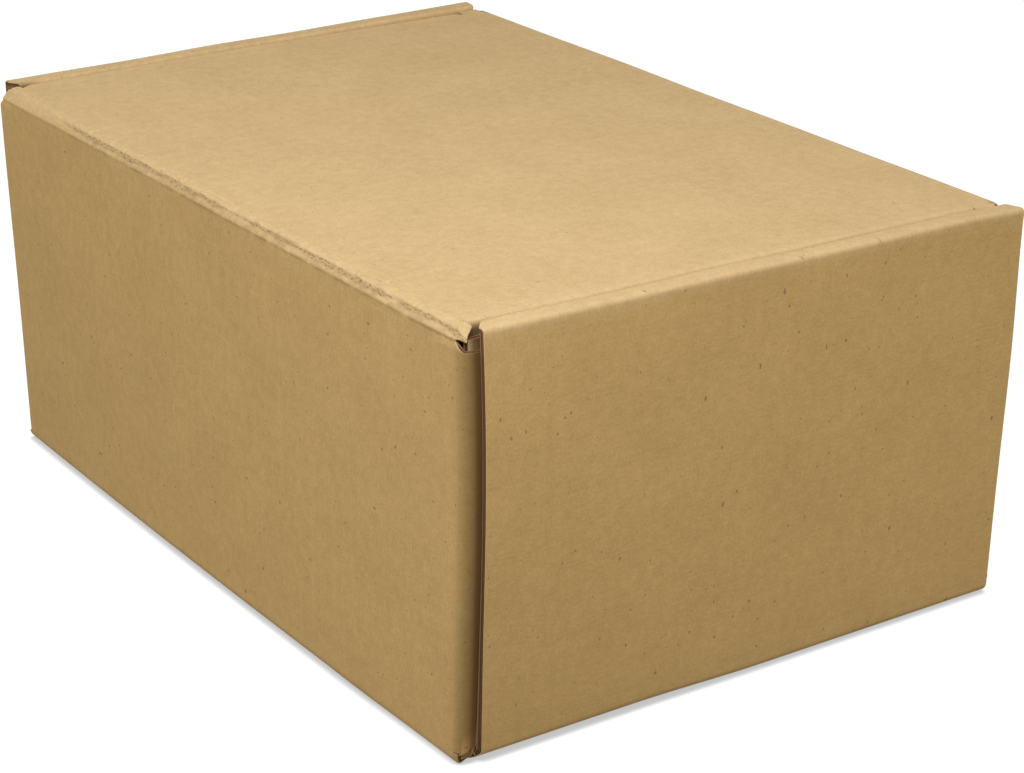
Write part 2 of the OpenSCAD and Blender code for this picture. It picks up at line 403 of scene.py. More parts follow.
# %% Ribbons of fluted paper
def flute_ribbons(sheet, is_seam, spacing=0.65):
    """Along each cut edge that crosses flutes, takes points about a spacing apart and lifts them
    by a sine of b. A ribbon reaches from the bottom of the recess to near the rim, and its faces
    are of kind 4."""
    blank = np.stack([sheet.u, sheet.v], -1)
    start, end, outward = cut_edges(sheet.keep)
    first, second = blank[start[:, 0], start[:, 1]], blank[end[:, 0], end[:, 1]]
    keep = ~is_seam((first + second) / 2)
    first, second, outward = first[keep], second[keep], outward[keep]
    along = second - first
    length = np.linalg.norm(along, axis=1)
    across = out_of_sheet(along, outward)
    wave = np.abs(along[:, 1]) / length
    parts = np.where(wave > 0.05, np.ceil(length / spacing), 1).astype(int)
    owner = np.repeat(np.arange(len(parts)), parts)
    local = np.arange(len(owner)) - np.repeat(np.cumsum(parts) - parts, parts)
    low = first[owner] + along[owner] * (local / parts[owner])[:, None]
    high = first[owner] + along[owner] * ((local + 1) / parts[owner])[:, None]
    points, blanks = [], []
    for spot in (low, high):
        for inset in RIBBON_INSETS:
            at = spot - across[owner] * inset
            middle, normal = sheet.fold(at[:, 0], at[:, 1])
            rise = (HALF - LINER - RIBBON_AIR) * np.sin(2 * np.pi * spot[:, 1] / FLUTE)
            for side in (RIBBON_HALF, -RIBBON_HALF):
                points.append(middle + normal * (rise + side)[:, None])
                blanks.append(at)
    count = len(owner)
    corner = [np.arange(count) + k * count for k in range(8)]
    # corners: 0 low-deep-up, 1 low-deep-down, 2 low-rim-up, 3 low-rim-down, 4..7 the same at high
    quads = [(0, 4, 6, 2), (1, 3, 7, 5), (2, 6, 7, 3), (0, 1, 5, 4)]
    faces = np.concatenate([np.stack([corner[k] for k in quad], 1) for quad in quads])
    points = np.concatenate(points)
    inside = (points[faces[:, 0]] + points[faces[:, 2]]) / 2 - np.tile(
        sum(points[c] for c in corner) / 8, (4, 1))
    turn = np.sum(np.cross(points[faces[:, 1]] - points[faces[:, 0]],
                           points[faces[:, 2]] - points[faces[:, 0]]) * inside, 1) < 0
    faces[turn] = faces[turn][:, ::-1]
    return points, faces, np.full(len(faces), 4.0), np.concatenate(blanks)


# %% [markdown]
# ## Into Blender
# The arrays become a mesh in one go. The material needs more than the shape: the blank
# coordinates are stored as a UV map, so that fibres run with the sheet over every fold, and
# attributes hold which faces are cut, how hard the paper was crushed, where it has the lid's
# colour and where painted shade darkens it.

# %% Make a mesh object from arrays
def clean_arrays(points, faces, kinds, flat):
    """Drops the points that no face uses and numbers the others again."""
    used, numbered = np.unique(faces, return_inverse=True)
    return points[used], numbered.reshape(faces.shape), kinds, flat[used]


def join_arrays(*parts):
    """Puts several shells of one piece behind each other, with their face numbers moved on."""
    shift = np.cumsum([0] + [len(part[0]) for part in parts[:-1]])
    faces = [part[1] + s for part, s in zip(parts, shift)]
    return (np.concatenate([p[0] for p in parts]), np.concatenate(faces),
            np.concatenate([p[2] for p in parts]), np.concatenate([p[3] for p in parts]))


def without_mark(flat):
    """The blank coordinate a, with the inner liner's mark taken off."""
    return np.where(np.abs(flat[:, 0]) > INNER_MARK / 2, flat[:, 0] - INNER_MARK, flat[:, 0])


def dressed_board(sheet, is_seam, ripple, squash=lambda a, b: 0 * a):
    """A sheet's two liners and cut edges, and the fluted ribbons in those edges."""
    return join_arrays(board_mesh(sheet, is_seam, ripple, squash), flute_ribbons(sheet, is_seam))


def in_scene(name, data):
    """A new object of the scene that shows a mesh, a lamp or a camera."""
    made = bpy.data.objects.new(name, data)
    bpy.context.scene.collection.objects.link(made)
    return made


def make_piece(name, arrays, crush, material, lid_share, pale_share, painted_shade):
    """Settles the points, turns millimetres to metres and stores UVs and attributes. The edges
    of the cut faces are sharp, so the liners stay flat up to the cut. The lid share is 0 on the
    tray and 1 on the lid; the pale share is 1 where the paper has the lid's colour, and the last
    share is of dark brown laid over it, painted shade at the back corners and on the hinge's
    crushed band."""
    points, faces, kinds, flat = clean_arrays(*arrays)
    a, b = without_mark(flat), flat[:, 1]
    on_lid = lid_share(a, b)
    mesh = bpy.data.meshes.new(name)
    mesh.from_pydata((settle(points, on_lid) * MM).tolist(), [], faces.tolist())
    print(name, "needed repair:", mesh.validate())
    loop_edge = np.empty(len(mesh.loops), np.int32)
    mesh.loops.foreach_get("edge_index", loop_edge)
    sharp = np.zeros(len(mesh.edges), bool)
    sharp[loop_edge[np.repeat(kinds >= 2, 4)]] = True
    mesh.attributes.new("sharp_edge", "BOOLEAN", "EDGE").data.foreach_set("value", sharp)
    mesh.polygons.foreach_set("use_smooth", kinds < 2)
    layer = mesh.uv_layers.new(name="blank")
    layer.data.foreach_set("uv", (flat[faces.reshape(-1)] * MM).astype(np.float32).reshape(-1))
    values = (("cut", "FACE", np.interp(kinds, [2, 2.5, 3], [0, 0.8, 1])), ("rim", "FACE", kinds == 2),
              ("crush", "POINT", crush(flat)), ("pale_share", "POINT", pale_share(a, b)),
              ("painted_shade", "POINT", painted_shade(a, b)))
    for title, domain, value in values:
        made = mesh.attributes.new(title, "FLOAT", domain)
        made.data.foreach_set("value", value.astype(np.float32))
    mesh.materials.append(material)
    print(name, "has", len(points), "points and", len(faces), "faces")
    return in_scene(name, mesh)


# %% [markdown]
# ## Kraft paper
# The liner is unbleached paper: warm brown, cloudy where the pulp lay thicker, streaked along
# its fibres and sprinkled with dark specks of bark. All of it is drawn in blank coordinates.
# Clouds, blotches and grain are noise at three sizes, fibres are noise that is stretched, and a
# speck is the middle of a random cell. A group holds the paper, so that the pieces share it.

# %% Build the paper as a node group
def sockets(group, inputs, outputs):
    """Names a group's inputs and outputs."""
    for name, kind, value in inputs:
        made = group.interface.new_socket(name=name, in_out="INPUT", socket_type=kind)
        if value is not None:
            made.default_value = value
    for name, kind in outputs:
        group.interface.new_socket(name=name, in_out="OUTPUT", socket_type=kind)
    return group.nodes.new("NodeGroupInput"), group.nodes.new("NodeGroupOutput")


class Wires:
    """Short helpers to add nodes to one tree and join them."""

    def __init__(self, tree):
        self.tree = tree

    def add(self, kind, inputs=None, **settings):
        """A new node with its settings, and its inputs set to numbers or joined to sockets."""
        node = self.tree.nodes.new(kind)
        for name, value in settings.items():
            setattr(node, name, value)
        for name, value in (inputs or {}).items():
            self.put(node.inputs[name], value)
        return node

    def put(self, socket, value):
        if isinstance(value, bpy.types.NodeSocket):
            self.tree.links.new(value, socket)
        else:
            socket.default_value = value

    def math(self, operation, one, two=0.0, clamp=False):
        return self.add("ShaderNodeMath", {0: one, 1: two}, operation=operation,
                        use_clamp=clamp).outputs[0]

    def times(self, one, two, clamp=False):
        return self.math("MULTIPLY", one, two, clamp)

    def stretch(self, vector, scale, turn=0.0):
        return self.add("ShaderNodeMapping", {"Vector": vector, "Rotation": (0, 0, turn),
                                              "Scale": scale}).outputs[0]

    def noise(self, vector, scale, detail=2.0, roughness=0.5):
        return self.add("ShaderNodeTexNoise", {"Vector": vector, "Scale": scale, "Detail": detail,
                                               "Roughness": roughness}).outputs["Fac"]

    def span(self, value, low, high, to_low=0.0, to_high=1.0):
        """Smooth steps from one pair of limits to another."""
        return self.add("ShaderNodeMapRange", dict(enumerate((value, low, high, to_low, to_high))),
                        interpolation_type="SMOOTHSTEP").outputs[0]

    def attribute(self, name):
        return self.add("ShaderNodeAttribute", attribute_name=name).outputs["Fac"]

    def seen(self):
        """1 for rays from the camera, and for the ones that metal or glass would send on."""
        path = self.add("ShaderNodeLightPath")
        glossy, sent_on = path.outputs["Is Glossy Ray"], path.outputs["Is Transmission Ray"]
        return self.math("MAXIMUM", path.outputs["Is Camera Ray"], self.math("MAXIMUM", glossy, sent_on))

    def mix(self, share, one, two):
        return self.add("ShaderNodeMix", {0: share, 6: one, 7: two}, data_type="RGBA").outputs[2]

    def show(self, kind, surface):
        """The tree's last node, of a material or of a world."""
        self.add(kind, {"Surface": surface})


def fresh_nodes(owner):
    """Gives a material or a world an empty node tree."""
    owner.use_nodes = True
    owner.node_tree.nodes.clear()
    return Wires(owner.node_tree)


SPECK_SIZES = ((5.2, 0.20, 0.34, 0.5, 1.4), (3.1, 0.12, 0.30, 1.9, 1.2), (9.0, 0.24, 0.22, 2.6, 2.2))


def build_paper():
    """Paper colour and relief. The colour goes from a dark to a pale kraft by the sum of the
    noises, and specks, fibres and crushed creases are laid over it."""
    group = bpy.data.node_groups.new("kraft_paper", "ShaderNodeTree")
    given, result = sockets(group, [
        ("Blank", "NodeSocketVector", None), ("Dark", "NodeSocketColor", (0.5, 0.4, 0.2, 1)),
        ("Pale", "NodeSocketColor", (0.8, 0.6, 0.3, 1)), ("Specks", "NodeSocketFloat", 1.0),
        ("Crush", "NodeSocketFloat", 0.0)],
        [("Color", "NodeSocketColor"), ("Height", "NodeSocketFloat")])
    w = Wires(group)
    flat = w.stretch(given.outputs["Blank"], (1000, 1000, 1000))
    clouds = w.noise(flat, 0.05, 3, 0.55)
    blotch = w.noise(flat, 0.34, 2, 0.6)
    grain = w.noise(flat, 1.5, 4, 0.75)
    fibres = w.noise(w.stretch(flat, (1.6, 0.3, 1)), 1.0, 3, 0.65)
    long_fibres = w.noise(w.stretch(flat, (0.5, 0.02, 1)), 1.0, 2, 0.6)
    tone = 0.5
    for value, weight in ((clouds, 0.5), (blotch, 0.6), (grain, 1.3), (fibres, 0.6),
                          (long_fibres, 0.2)):
        tone = w.math("ADD", tone, w.times(w.math("SUBTRACT", value, 0.5), weight))
    colour = w.mix(w.math("ADD", tone, 0.0, clamp=True), given.outputs["Dark"], given.outputs["Pale"])

    # dark specks: inside a few of the random cells, close to the cell's point
    wobble = w.add("ShaderNodeTexNoise", {"Vector": flat, "Scale": 1.3}).outputs["Color"]
    moved = w.add("ShaderNodeVectorMath", {0: wobble, 1: (0.9, 0.9, 0), 2: flat},
                  operation="MULTIPLY_ADD").outputs[0]
    dark_marks = 0.0
    for size, radius, chance, turn, pull in SPECK_SIZES:
        stretched = w.stretch(moved, (1 / pull, 1, 1), turn)
        cells = w.add("ShaderNodeTexVoronoi", {"Vector": stretched, "Scale": 1 / size},
                      voronoi_dimensions="2D")
        split = w.add("ShaderNodeSeparateColor", {0: cells.outputs["Color"]})
        lucky = w.span(split.outputs[0], chance * 0.6, chance, 1, 0)
        reach = w.times(w.math("ADD", split.outputs[1], 0.35), radius / size)
        spot = w.span(w.math("SUBTRACT", cells.outputs["Distance"], reach), -0.12 * radius / size,
                      0.35 * radius / size, 1, 0)
        dark_marks = w.math("MAXIMUM", dark_marks, w.times(spot, lucky))
    dark_marks = w.times(dark_marks, given.outputs["Specks"], clamp=True)
    colour = w.mix(w.times(dark_marks, 0.55), colour, (0.15, 0.075, 0.025, 1))

    # a crushed crease is paler, and where it is crushed hard it is browner and has dark flecks
    colour = w.mix(w.times(given.outputs["Crush"], 0.22), colour, (0.80, 0.64, 0.40, 1))
    hard = w.span(given.outputs["Crush"], 0.5, 0.75)
    colour = w.mix(w.times(hard, 0.3), colour, (0.42, 0.28, 0.12, 1))
    flecks = w.span(w.noise(w.stretch(flat, (0.8, 2.0, 1)), 1.3, 3, 0.7), 0.50, 0.58)
    flecks = w.times(w.times(flecks, hard), 0.7)
    colour = w.mix(flecks, colour, (0.25, 0.14, 0.055, 1))

    washboard = w.add("ShaderNodeTexWave", {"Vector": flat, "Scale": 2 * np.pi / (FLUTE * 20)},
                      wave_type="BANDS", bands_direction="Y", wave_profile="SIN")
    height = w.times(washboard.outputs["Fac"], 0.10)
    for value, weight in ((grain, 0.5), (fibres, 0.45), (blotch, 0.35), (clouds, 0.8)):
        height = w.math("ADD", height, w.times(value, weight))
    w.put(result.inputs["Color"], colour)
    w.put(result.inputs["Height"], height)
    return group


paper = build_paper()
print("paper group has", len(paper.nodes), "nodes")


# %% [markdown]
# ## Board finishes
# Each material places the paper group and adds what the group can't hold: the shader itself, the
# pale rims and the dark fluted paper of the cut edges, and the painted shade in darkened places.
# Cardboard is matt, so it gets a high roughness and a low specular level, and the relief is very low.

# %% Materials for the tray, the lid and the crease between them
def kraft_material(name, tray_pair, lid_pair, specks):
    """Principled shader on the shared paper group. The pale share picks the colours, the rim
    attribute pales an edge's cut paper, a share of dark brown lays painted shade over the back
    corners and the hinge's crushed band, and cut darkens an edge's core."""
    material = bpy.data.materials.new(name)
    w = fresh_nodes(material)
    blank = w.add("ShaderNodeUVMap", uv_map="blank").outputs[0]
    board = w.add("ShaderNodeGroup", node_tree=paper)
    for title, value in (("Blank", blank), ("Crush", w.attribute("crush")), ("Specks", specks)):
        w.put(board.inputs[title], value)
    share = w.attribute("pale_share")
    for side, on_tray, on_lid in zip(("Dark", "Pale"), tray_pair, lid_pair):
        w.put(board.inputs[side], w.mix(share, (*on_tray, 1), (*on_lid, 1)))
    colour = board.outputs["Color"]
    colour = w.mix(w.times(w.attribute("rim"), 0.25), colour, (0.86, 0.68, 0.42, 1))
    # painted shade: dark brown over the hollows at the back corners and on the hinge's crushed band
    colour = w.mix(w.attribute("painted_shade"), colour, (0.13, 0.06, 0.012, 1))
    colour = w.mix(w.attribute("cut"), colour, (0.24, 0.125, 0.06, 1))
    bump = w.add("ShaderNodeBump", {"Strength": 0.5, "Distance": 0.00016,
                                    "Height": board.outputs["Height"]}).outputs[0]
    shader = w.add("ShaderNodeBsdfPrincipled", {
        "Roughness": 0.86, "Specular IOR Level": 0.25, "Base Color": colour, "Normal": bump})
    w.show("ShaderNodeOutputMaterial", shader.outputs[0])
    return material


def kraft_pair(colour, spread=0.21):
    """Dark and pale ends of the paper's colours: the dark one is also a little redder."""
    colour = np.array(colour)
    dark = colour * (1 - spread * np.array([0.85, 1.0, 1.25]))
    pale = colour * (1 + spread * np.array([0.85, 1.0, 1.25]))
    return tuple(dark), tuple(pale)


# painted shade: the tray's colour is a darker, warmer copy of the lid's board colour, for its shaded
# uprights; the lid's colour is the board's own
TRAY_SHADED_COLOUR = (0.640, 0.422, 0.168)
LID_COLOUR = (0.665, 0.468, 0.233)
kraft_colours = kraft_pair(TRAY_SHADED_COLOUR), kraft_pair(LID_COLOUR)
tray_kraft = kraft_material("kraft_tray", *kraft_colours, specks=1.0)
lid_kraft = kraft_material("kraft_lid", *kraft_colours, specks=0.5)
crease_kraft = kraft_material("kraft_crease", *kraft_colours, specks=0.5)

# %% [markdown]
# ## The tray's blank
# Base, rolled ends, long walls and dust flaps are one cut sheet. The grid has a line at every
# fold and cut. Fine lines across the ends let the rolled edge show how it gave way at each
# flute. A mask throws away the cells that the die cuts out, slots included.

# %% Lines of the tray's grid
def both_sides(values):
    """The values and their mirror images."""
    values = np.asarray(values, float)
    return np.concatenate([-values[::-1], values])


def divide(low, high, spacing):
    """Even lines from low to high, about a spacing apart, both ends included."""
    return np.linspace(low, high, max(1, int(np.ceil((high - low) / spacing))) + 1)


SLOT_X, SLOT_HALF = (INNER_FACE + INNER_BACK) / 2, HALF + 0.3
TAB_PLACE, TAB_HALF = 42.0, 14.0
base_end, fold_top, roll_start, crease_1, crease_2, roll_end, panel_end, tab_end = end_knots[1:]
wall_foot, wall_base, hinge_start, band_start, band_stop, hinge_stop = back_knots[1:7]
dust_b0 = wall_base + DUST_LOW - (BASE_FOLD + BOARD)
dust_b1 = wall_base + DUST_HIGH - (BASE_FOLD + BOARD)
low_b0 = wall_base + BEND_LOW - (BASE_FOLD + BOARD)
front_b = wall_base + FRONT_TOP - (BASE_FOLD + BOARD)
shoulder_a = roll_end + roll_foot - SHOULDER
BEND_END = side_knots[2]
CREASE_END = BEND_X + 1.2
FOOT_END = BEND_END + 1.4
END_CUT = 2.6

tray_a = both_sides(np.concatenate([
    divide(0, END_ZONE, 9.5), divide(END_ZONE, SLOT_X - SLOT_HALF, 3),
    [SLOT_X + SLOT_HALF, LEDGE_HALF, LEDGE_HALF + SLIT, FOOT_END, CREASE_END],
    divide(BEND_X, BEND_END, 0.6), divide(base_end, fold_top, 0.5),
    divide(fold_top, roll_start, 9.0), [roll_start - 1, roll_start - 2.4],
    divide(roll_start, crease_1, 0.37), divide(crease_1, crease_2, 0.48),
    divide(crease_2, roll_end, 0.37), divide(roll_end, panel_end, 14),
    [shoulder_a - 0.3, shoulder_a, panel_end, tab_end],
    flap_rows(BEND_END, DUST_REACH, DUST_ROUND, 10)]))
tray_b = both_sides(np.concatenate([
    divide(0, END_HALF, 0.76), [wall_foot, INNER_HALF, TAB_PLACE - TAB_HALF, TAB_PLACE + TAB_HALF,
                                TAB_PLACE - TAB_HALF - 0.3, TAB_PLACE + TAB_HALF + 0.3],
    divide(wall_foot, wall_base, 0.4), [low_b0], divide(dust_b0, dust_b1, 5.0),
    [front_b - 0.2, front_b]]))
print("tray grid:", len(np.unique(tray_a)), "by", len(np.unique(tray_b)), "lines")


# %% Which cells of the tray's blank are board
def tray_keep(a, b):
    """Cells inside the blank's outline and outside its slots. The back wall stops at the dust
    flaps' top edge, where the crease strip takes over; the front wall runs to its top edge."""
    x, y = np.abs(a), np.abs(b)
    base = (x < base_end) & (y < END_HALF) | (x < LEDGE_HALF) & (y < wall_foot)
    slots = (np.abs(x - SLOT_X) < SLOT_HALF) & (np.abs(y - TAB_PLACE) < TAB_HALF + 0.3)
    ends = (x > base_end) & (x < shoulder_a) & (y < END_HALF)
    inner = (x > shoulder_a) & (x < panel_end) & (y < INNER_HALF)
    tabs = (x > panel_end) & (np.abs(y - TAB_PLACE) < TAB_HALF)
    ledge = (x < LEDGE_HALF) & (y > wall_foot) & (y < wall_base)
    top = np.where(b > 0, dust_b1, front_b)
    wall = (x < BEND_X) & (y > wall_base) & (y < top)
    tip = (b < 0) & (x < CREASE_END) & (y > dust_b1) & (y < front_b)
    dust = (x > BEND_X) & (x < side_knots[-1]) & (y > dust_b0) & (y < dust_b1)
    bend_foot = (-a > LEDGE_HALF + SLIT) & (-a < FOOT_END) & (b > low_b0) & (b < dust_b0)
    return base & ~slots | ends | inner | tabs | ledge | wall | tip | dust | bend_foot


def stretch_end(x, limit):
    """Moves the columns beyond the end zone's start, so that the crease's last one is at a limit."""
    moved = END_ZONE + (x - END_ZONE) * (limit - END_ZONE) / (CREASE_END - END_ZONE)
    return np.where(x > END_ZONE, moved, x)


def tray_shape(a, b):
    """Leans and rounds the dust flaps: their height shrinks evenly about its middle. The rolls
    are cut back towards their inner crease, most at the near corner, and the front wall's top
    ends at a slant."""
    x, y = np.abs(a), np.abs(b)
    middle, half = (dust_b0 + dust_b1) / 2, (dust_b1 - dust_b0) / 2
    inset = flap_side(x - BEND_END, DUST_REACH, DUST_ROUND, DUST_TAPER)
    on_flap = (x > BEND_END) & (y > dust_b0 - 0.01)
    y = np.where(on_flap, middle + (y - middle) * (half - inset) / half, y)
    by_corner = np.where(b > 0, np.where(a < 0, 1, 0.5), 0.2)
    cut = END_CUT * by_corner * np.interp(
        x, [crease_1, crease_2, roll_end, shoulder_a - 0.01, shoulder_a], [0, 0.6, 1.9, 1.9, 0])
    on_end = (x > crease_1) & (y <= END_HALF + 0.001)
    y = np.where(on_end, y - cut * smooth(y, END_HALF - 12, END_HALF), y)
    above = np.clip((y - dust_b1) / (front_b - dust_b1), 0, 1) * (x <= CREASE_END + 1e-6) * (b < 0)
    target = CREASE_END + (HINGE_HALF - CREASE_END) * above
    x = np.where(above > 0, stretch_end(x, target), x)
    return np.sign(a) * x, np.sign(b) * y


def fold_ends(a, b):
    """Base and rolled ends: the blank's a walks the end line in x and z, and b stays y."""
    x, z, angle = end_line(np.abs(a))
    side = side_of(a)
    middle = np.stack([side * x, b + 0 * a, z], -1)
    return middle, np.stack([side * np.sin(angle), 0 * angle, -np.cos(angle)], -1)


def fold_walls(a, b):
    """Long walls and dust flaps: b walks up the wall's line in y and z, and beyond the upright
    bend a walks round the corner. The two turns are multiplied to give the normal."""
    y, z, up = back_line(np.abs(b))
    foot = (np.abs(a) > LEDGE_HALF + SLIT / 2) & (np.abs(b) < wall_base)
    y = np.where(foot, HALF_WIDTH - HALF, y)
    z = np.where(foot, BASE_FOLD + BOARD + np.abs(b) - wall_base, z)
    up = np.where(foot, np.pi / 2, up)
    bends = foot | (np.abs(b) > wall_base + 0.05)
    x, inward, turn = side_line(np.abs(a))
    x = np.where(bends, x, np.abs(a))
    turn = np.where(bends, turn, 0.0)
    inward = np.where(bends, HALF_WIDTH - HALF - inward, 0.0)
    side, wall = side_of(a), side_of(b)
    middle = np.stack([side * x, wall * (y - inward), z], -1)
    normal = np.stack([-side * np.sin(turn) * np.sin(up), wall * np.sin(up) * np.cos(turn),
                       -np.cos(up)], -1)
    return middle, unit(normal)


def fold_front(a, b):
    """The front wall is like the back wall, but it has no hinge: above its fold it stays straight."""
    middle, normal = fold_walls(a, b)
    height = BASE_FOLD + BOARD + np.abs(b) - wall_base
    straight = (b < 0) & (np.abs(b) > hinge_start - 1)
    _, across, turn = side_line(np.abs(a))
    inward = HALF_WIDTH - HALF - across
    side = side_of(a)
    middle[..., 1] = np.where(straight, -(HALF_WIDTH - HALF - inward), middle[..., 1])
    middle[..., 2] = np.where(straight, height, middle[..., 2])
    level = np.stack([-side * np.sin(turn), -np.cos(turn), 0 * turn], -1)
    return middle, np.where(straight[..., None], level, normal)


def fold_tray(a, b):
    """Chooses between the two folds: the walls lie beyond the base's long fold lines."""
    inside_ledge = np.abs(a) < LEDGE_HALF + SLIT / 2
    on_wall = (np.abs(b) > wall_foot + 1e-3) & (inside_ledge | (np.abs(b) > low_b0 - 0.3))
    ends, ends_normal = fold_ends(a, b)
    walls, walls_normal = fold_front(a, b)
    pick = on_wall[..., None]
    return np.where(pick, walls, ends), np.where(pick, walls_normal, ends_normal)


# %% [markdown]
# The rolled edge is not quite straight. When thin board is creased across its flutes, each
# flute gives way a little differently, so the edge gets a fine scallop. A small ripple on the
# two creases of the roll shows that.

# %% Cut, fold and dress the tray
def tray_ripple(a, b):
    """Crisp creases on the roll, a base fold that is crisp towards the near corner, and a
    scallop along the roll: a wave in b whose height fades away from the creases."""
    x = np.abs(a)
    on_roll = (x > roll_start - 0.01) & (x < roll_end + 0.01)
    bend = np.where(on_roll, crisp(np.mod(end_line(x)[2], np.pi / 2), 90, ROLL_CREASE + BOARD), 0)
    near = bell(x, (roll_start + crease_1) / 2, 1.1) + bell(x, (crease_2 + roll_end) / 2, 1.1)
    at_foot = (b > wall_foot) & (b < wall_base) & (x < LEDGE_HALF + 0.01)
    bend = bend + at_foot * smooth(-a, 50, 108) * crisp(back_line(b)[2], 90, BASE_FOLD + BOARD)
    wave = np.sin(2 * np.pi * b / 2.0 + 1.5 * np.sin(b / 5.3)) * (0.6 + 0.4 * np.sin(b / 3.1 + 2))
    slow = np.sin(b / 7.3) + np.sin(b / 11.9 + 1.3)
    return bend + near * (0.045 * wave + 0.05 * slow)


def tray_crush(flat):
    """How hard the paper is crushed: strongest on the folds of the roll and of the base."""
    x, y = np.abs(without_mark(flat)), np.abs(flat[:, 1])
    at_roll = bell(x, (roll_start + crease_1) / 2, 1.3)
    at_foot = 0.4 * bell(x, (base_end + fold_top) / 2, 1.2)
    at_wall = 0.4 * bell(y, (wall_foot + wall_base) / 2, 1.2) * (x < LEDGE_HALF)
    return np.clip(0.45 * at_roll + at_foot + at_wall, 0, 1)


def tray_painted_shade(a, b):
    """Share of dark brown, painted shade where the lamps leave it too light: on the near upright
    bend towards the end panel, and in the hollows at the ends of the rolls beside the hinge."""
    x = np.abs(a)
    bend = np.clip((-a - BEND_X + 2.2) / 5.3, 0, 1) ** 1.5 * smooth(b, wall_foot, wall_base)
    bend = bend * (-a < FOOT_END)
    hollow = smooth(x, crease_2, roll_end) * smooth(-x, -shoulder_a - 10, -shoulder_a - 2)
    hollow = hollow * smooth(b, END_HALF - 9, END_HALF - 4) * (b < END_HALF + 0.01)
    return 0.9 * bend + 0.8 * hollow


tray_sheet = Sheet(tray_a, tray_b, tray_keep, tray_shape, fold_tray)
tray_arrays = dressed_board(tray_sheet, seam_at(dust_b1, CREASE_END), tray_ripple)
# the tops of the rolls take the lid's colour, the rest of the tray keeps the painted shade colour, and
# the last share lays painted shade on the back corners
tray = make_piece("tray_sheet", tray_arrays, tray_crush, tray_kraft, lambda a, b: 0 * a,
                  lambda a, b: smooth(np.abs(a), roll_start - 0.6, crease_1), tray_painted_shade)

# %% [markdown]
# ## The lid's blank
# The lid carries an ear on each side and a tuck flap in front. At the ears' ends the sheet is
# slit, so the lid's own corners stay flat while the ears turn down.

# %% Cut, fold and dress the lid
LID_B0 = hinge_stop + float(seam_y) - (EAR_BACK_Y + EAR_CUT)


def lid_b(y):
    """Blank coordinate of a line across the lid, from its distance to the hinge."""
    return LID_B0 + (EAR_BACK_Y + EAR_CUT) - y


front_fold = lid_b(-TUCK_Y)
lid_a = both_sides(np.concatenate([
    divide(0, EAR_X, 3.0), [TUCK_HALF, LID_CORNER], divide(ear_knots[1], ear_knots[2], 0.4),
    flap_rows(ear_knots[2], ear_depth, EAR_ROUND, 4.0)]))
lid_bs = np.concatenate([
    [LID_B0, lid_b(EAR_BACK_Y)], divide(lid_b(EAR_BACK_Y), lid_b(EAR_FRONT_Y), 3.0),
    [lid_b(EAR_FRONT_Y - EAR_CUT)], divide(lid_b(EAR_FRONT_Y - EAR_CUT), front_fold, 2.0),
    divide(front_fold, front_fold + tuck_knots[1], 0.35),
    flap_rows(front_fold + tuck_knots[1], tuck_depth, TUCK_ROUND, 3.0)])


def lid_keep(a, b):
    """Cells of the lid panel with its flat corners, the ears and the tuck flap."""
    x = np.abs(a)
    panel = (x < EAR_X) & (b < front_fold)
    flat_corner = (x < LID_CORNER) & ((b < lid_b(EAR_BACK_Y + EAR_CUT)) |
                                      (b > lid_b(EAR_FRONT_Y - EAR_CUT)) & (b < front_fold))
    ears = (b > lid_b(EAR_BACK_Y)) & (b < lid_b(EAR_FRONT_Y))
    tuck = (b > front_fold) & (x < TUCK_HALF)
    return panel | flat_corner | ears | tuck


def lid_shape(a, b):
    """Leans and rounds the ears in b, and the tuck flap in a."""
    x = np.abs(a)
    back, front = lid_b(EAR_BACK_Y), lid_b(EAR_FRONT_Y)
    depth = x - ear_knots[2]
    low = back + flap_side(depth, ear_depth, EAR_ROUND, EAR_BACK_TAPER)
    high = front - flap_side(depth, ear_depth, EAR_ROUND, EAR_FRONT_TAPER)
    share = (b - back) / (front - back)
    v = np.where((depth > 0) & (b < front + 0.01) & (b > back - 0.01), low + (high - low) * share, b)
    inset = flap_side(b - front_fold - tuck_knots[1], tuck_depth, TUCK_ROUND, TUCK_TAPER)
    u = np.where(b > front_fold + tuck_knots[1], x * (TUCK_HALF - inset) / TUCK_HALF, x)
    return np.sign(a) * u, v


def on_ears(b):
    """Rows of the ears, between the two slits that part them from the lid's flat corners."""
    return (b > lid_b(EAR_BACK_Y) - EAR_CUT / 2) & (b < lid_b(EAR_FRONT_Y) + EAR_CUT / 2)


def fold_lid(a, b):
    """Ears walk the ear line in a; the tuck flap walks the tuck line in b; the rest is flat."""
    on_ear = on_ears(b)
    x, z, angle = ear_line(np.abs(a))
    x = np.where(on_ear, x, np.abs(a))
    z = np.where(on_ear, z, LID_TOP - HALF)
    angle = np.where(on_ear, angle, 0.0)
    side = side_of(a)
    y = LID_B0 + (EAR_BACK_Y + EAR_CUT) - b
    normal = np.stack([-side * np.sin(angle), 0 * angle, np.cos(angle)], -1)
    middle = np.stack([side * x, y + 0 * a, z], -1)
    over = b > front_fold
    forward, tuck_z, tuck_angle = tuck_line(np.maximum(b - front_fold, 0))
    tuck = np.stack([a, -forward + 0 * a, tuck_z + 0 * a], -1)
    tuck_normal = np.stack([0 * a, np.sin(tuck_angle) + 0 * a, np.cos(tuck_angle) + 0 * a], -1)
    return np.where(over[..., None], tuck, middle), np.where(over[..., None], tuck_normal, normal)


def lid_ripple(a, b):
    """Crisp creases along the ears and the tuck flap."""
    outer_radius = FLAP_FOLD + BOARD
    ear = np.where(on_ears(b), crisp(-ear_line(np.abs(a))[2], 90, outer_radius), 0)
    tuck_angle = -tuck_line(np.maximum(b - front_fold, 0))[2]
    return np.where(b > front_fold, crisp(tuck_angle, 90 + TUCK_LEAN, outer_radius), ear)


